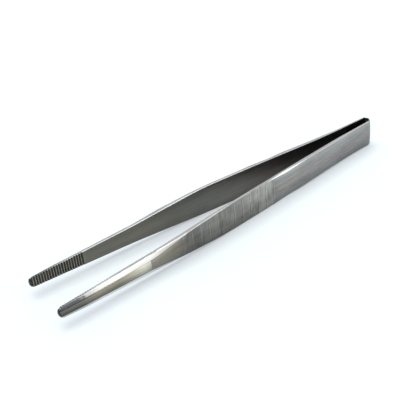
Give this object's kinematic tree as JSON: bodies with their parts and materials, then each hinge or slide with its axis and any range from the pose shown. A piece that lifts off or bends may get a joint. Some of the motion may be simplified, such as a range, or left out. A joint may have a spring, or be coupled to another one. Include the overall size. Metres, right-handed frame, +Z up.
{
  "type": "thumb forceps",
  "caption": "Thumb forceps of one folded steel strip: two sprung arms with fluted grips, bevelled jaws and serrated rounded tips.",
  "frame": {"origin": "on the surface the forceps rest on, under the middle of their length and midway between the arms", "axes": "+X along the length towards the fold at the butt, with the tips at -X; +Y across from one arm to the other; +Z up, along the width of the strip"},
  "size_m": [0.145, 0.022, 0.0114],
  "materials": {
    "steel": "satin stainless steel, brushed along the butt, polished bevels on the jaws"
  },
  "bodies": {
    "root": {"forceps": "steel"}
  },
  "joints": []
}
